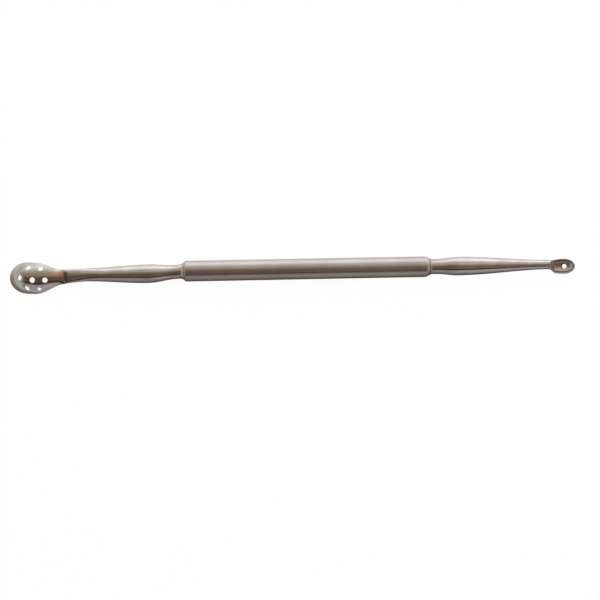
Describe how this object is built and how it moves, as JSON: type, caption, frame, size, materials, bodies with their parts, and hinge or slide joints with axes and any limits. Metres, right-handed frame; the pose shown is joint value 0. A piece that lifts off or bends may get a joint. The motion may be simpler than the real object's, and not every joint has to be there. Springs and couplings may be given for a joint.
{
  "type": "blackhead extractor",
  "caption": "Slim steel skin tool: a tube handle that carries a perforated domed spoon at one end and a small holed cup at the other.",
  "frame": {"origin": "middle of the handle tube, on its axis", "axes": "+X along the handle towards the cup, so the spoon is at -X; +Z is the side that the back of the spoon and the hollow of the cup face; +Y across"},
  "size_m": [0.1366, 0.0075, 0.005],
  "materials": {
    "satin_steel": "satin, fine round grain",
    "polished_steel": "polished, with fine wear scratches",
    "braze_metal": "pale silver braze, slightly uneven"
  },
  "bodies": {
    "root": {"handle_tube": "satin_steel", "spoon_tip": "polished_steel", "cup_tip": "polished_steel", "spoon_braze_ring": "braze_metal", "cup_braze_ring": "braze_metal"}
  },
  "joints": []
}
